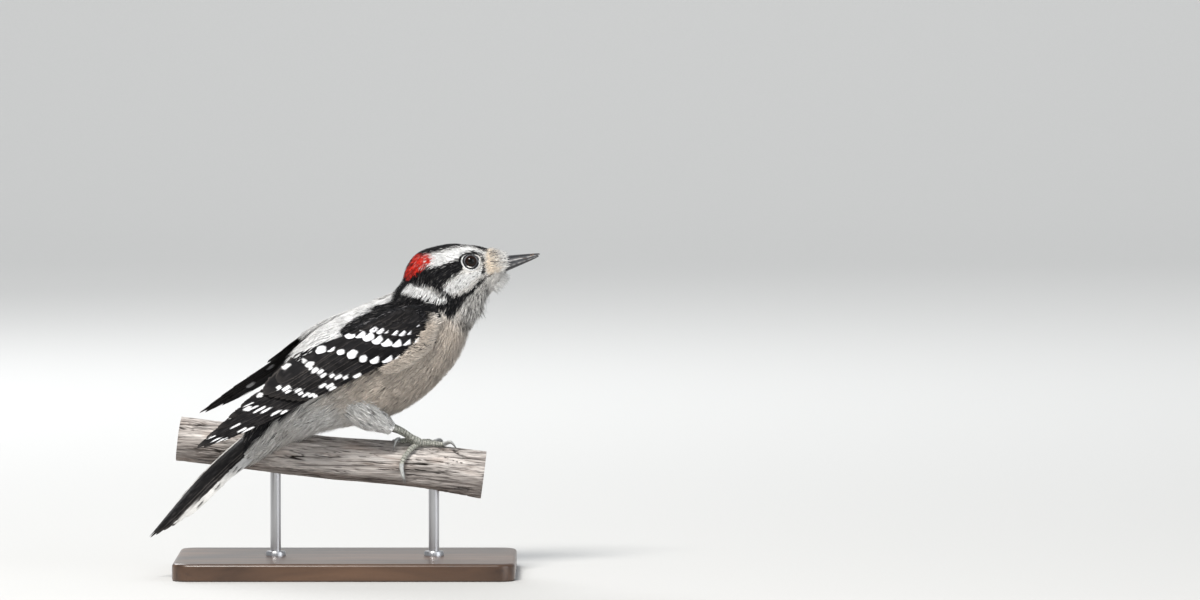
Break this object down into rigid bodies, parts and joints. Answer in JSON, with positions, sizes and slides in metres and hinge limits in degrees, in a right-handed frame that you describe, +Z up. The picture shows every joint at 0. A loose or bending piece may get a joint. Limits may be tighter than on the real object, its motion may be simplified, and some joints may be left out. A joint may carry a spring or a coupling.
{
  "type": "downy woodpecker figure on a branch",
  "caption": "Life-size male downy woodpecker gripping a cut length of dead branch, held over a flat base by two rods.",
  "frame": {"origin": "middle of the stand's underside", "axes": "+X the way the bird faces along the branch, -Y its right side, +Z up"},
  "size_m": [0.1323, 0.072, 0.1126],
  "materials": {
    "plumage": "soft body feathers, black, white, buff and a red nape patch",
    "flight_feathers": "black wing and tail feathers with rows of white spots and bars",
    "bill_horn": "satin slate horn",
    "eye": "glossy dark brown",
    "scaled_skin": "greenish grey scaled skin",
    "claw_horn": "grey horn, darker at the tip",
    "weathered_wood": "grey weathered dead wood with long cracks",
    "stand_wood": "dark satin varnish",
    "stand_steel": "fine brushed"
  },
  "bodies": {
    "root": {"head": "plumage", "neck": "plumage", "trunk": "plumage", "thigh_left": "plumage", "thigh_right": "plumage", "wing_left": "flight_feathers", "wing_right": "flight_feathers", "tail": "flight_feathers", "bill_upper": "bill_horn", "bill_lower": "bill_horn", "eye_left": "eye", "eye_right": "eye", "tarsus_left": "scaled_skin", "tarsus_right": "scaled_skin", "toe_outer_back_left": "scaled_skin", "toe_inner_back_left": "scaled_skin", "toe_outer_front_left": "scaled_skin", "toe_inner_front_left": "scaled_skin", "toe_outer_back_right": "scaled_skin", "toe_inner_back_right": "scaled_skin", "toe_outer_front_right": "scaled_skin", "toe_inner_front_right": "scaled_skin", "claw_outer_back_left": "claw_horn", "claw_inner_back_left": "claw_horn", "claw_outer_front_left": "claw_horn", "claw_inner_front_left": "claw_horn", "claw_outer_back_right": "claw_horn", "claw_inner_back_right": "claw_horn", "claw_outer_front_right": "claw_horn", "claw_inner_front_right": "claw_horn", "perch": "weathered_wood", "stand_base": "stand_wood", "stand_rod_1": "stand_steel", "stand_rod_2": "stand_steel"}
  },
  "joints": []
}
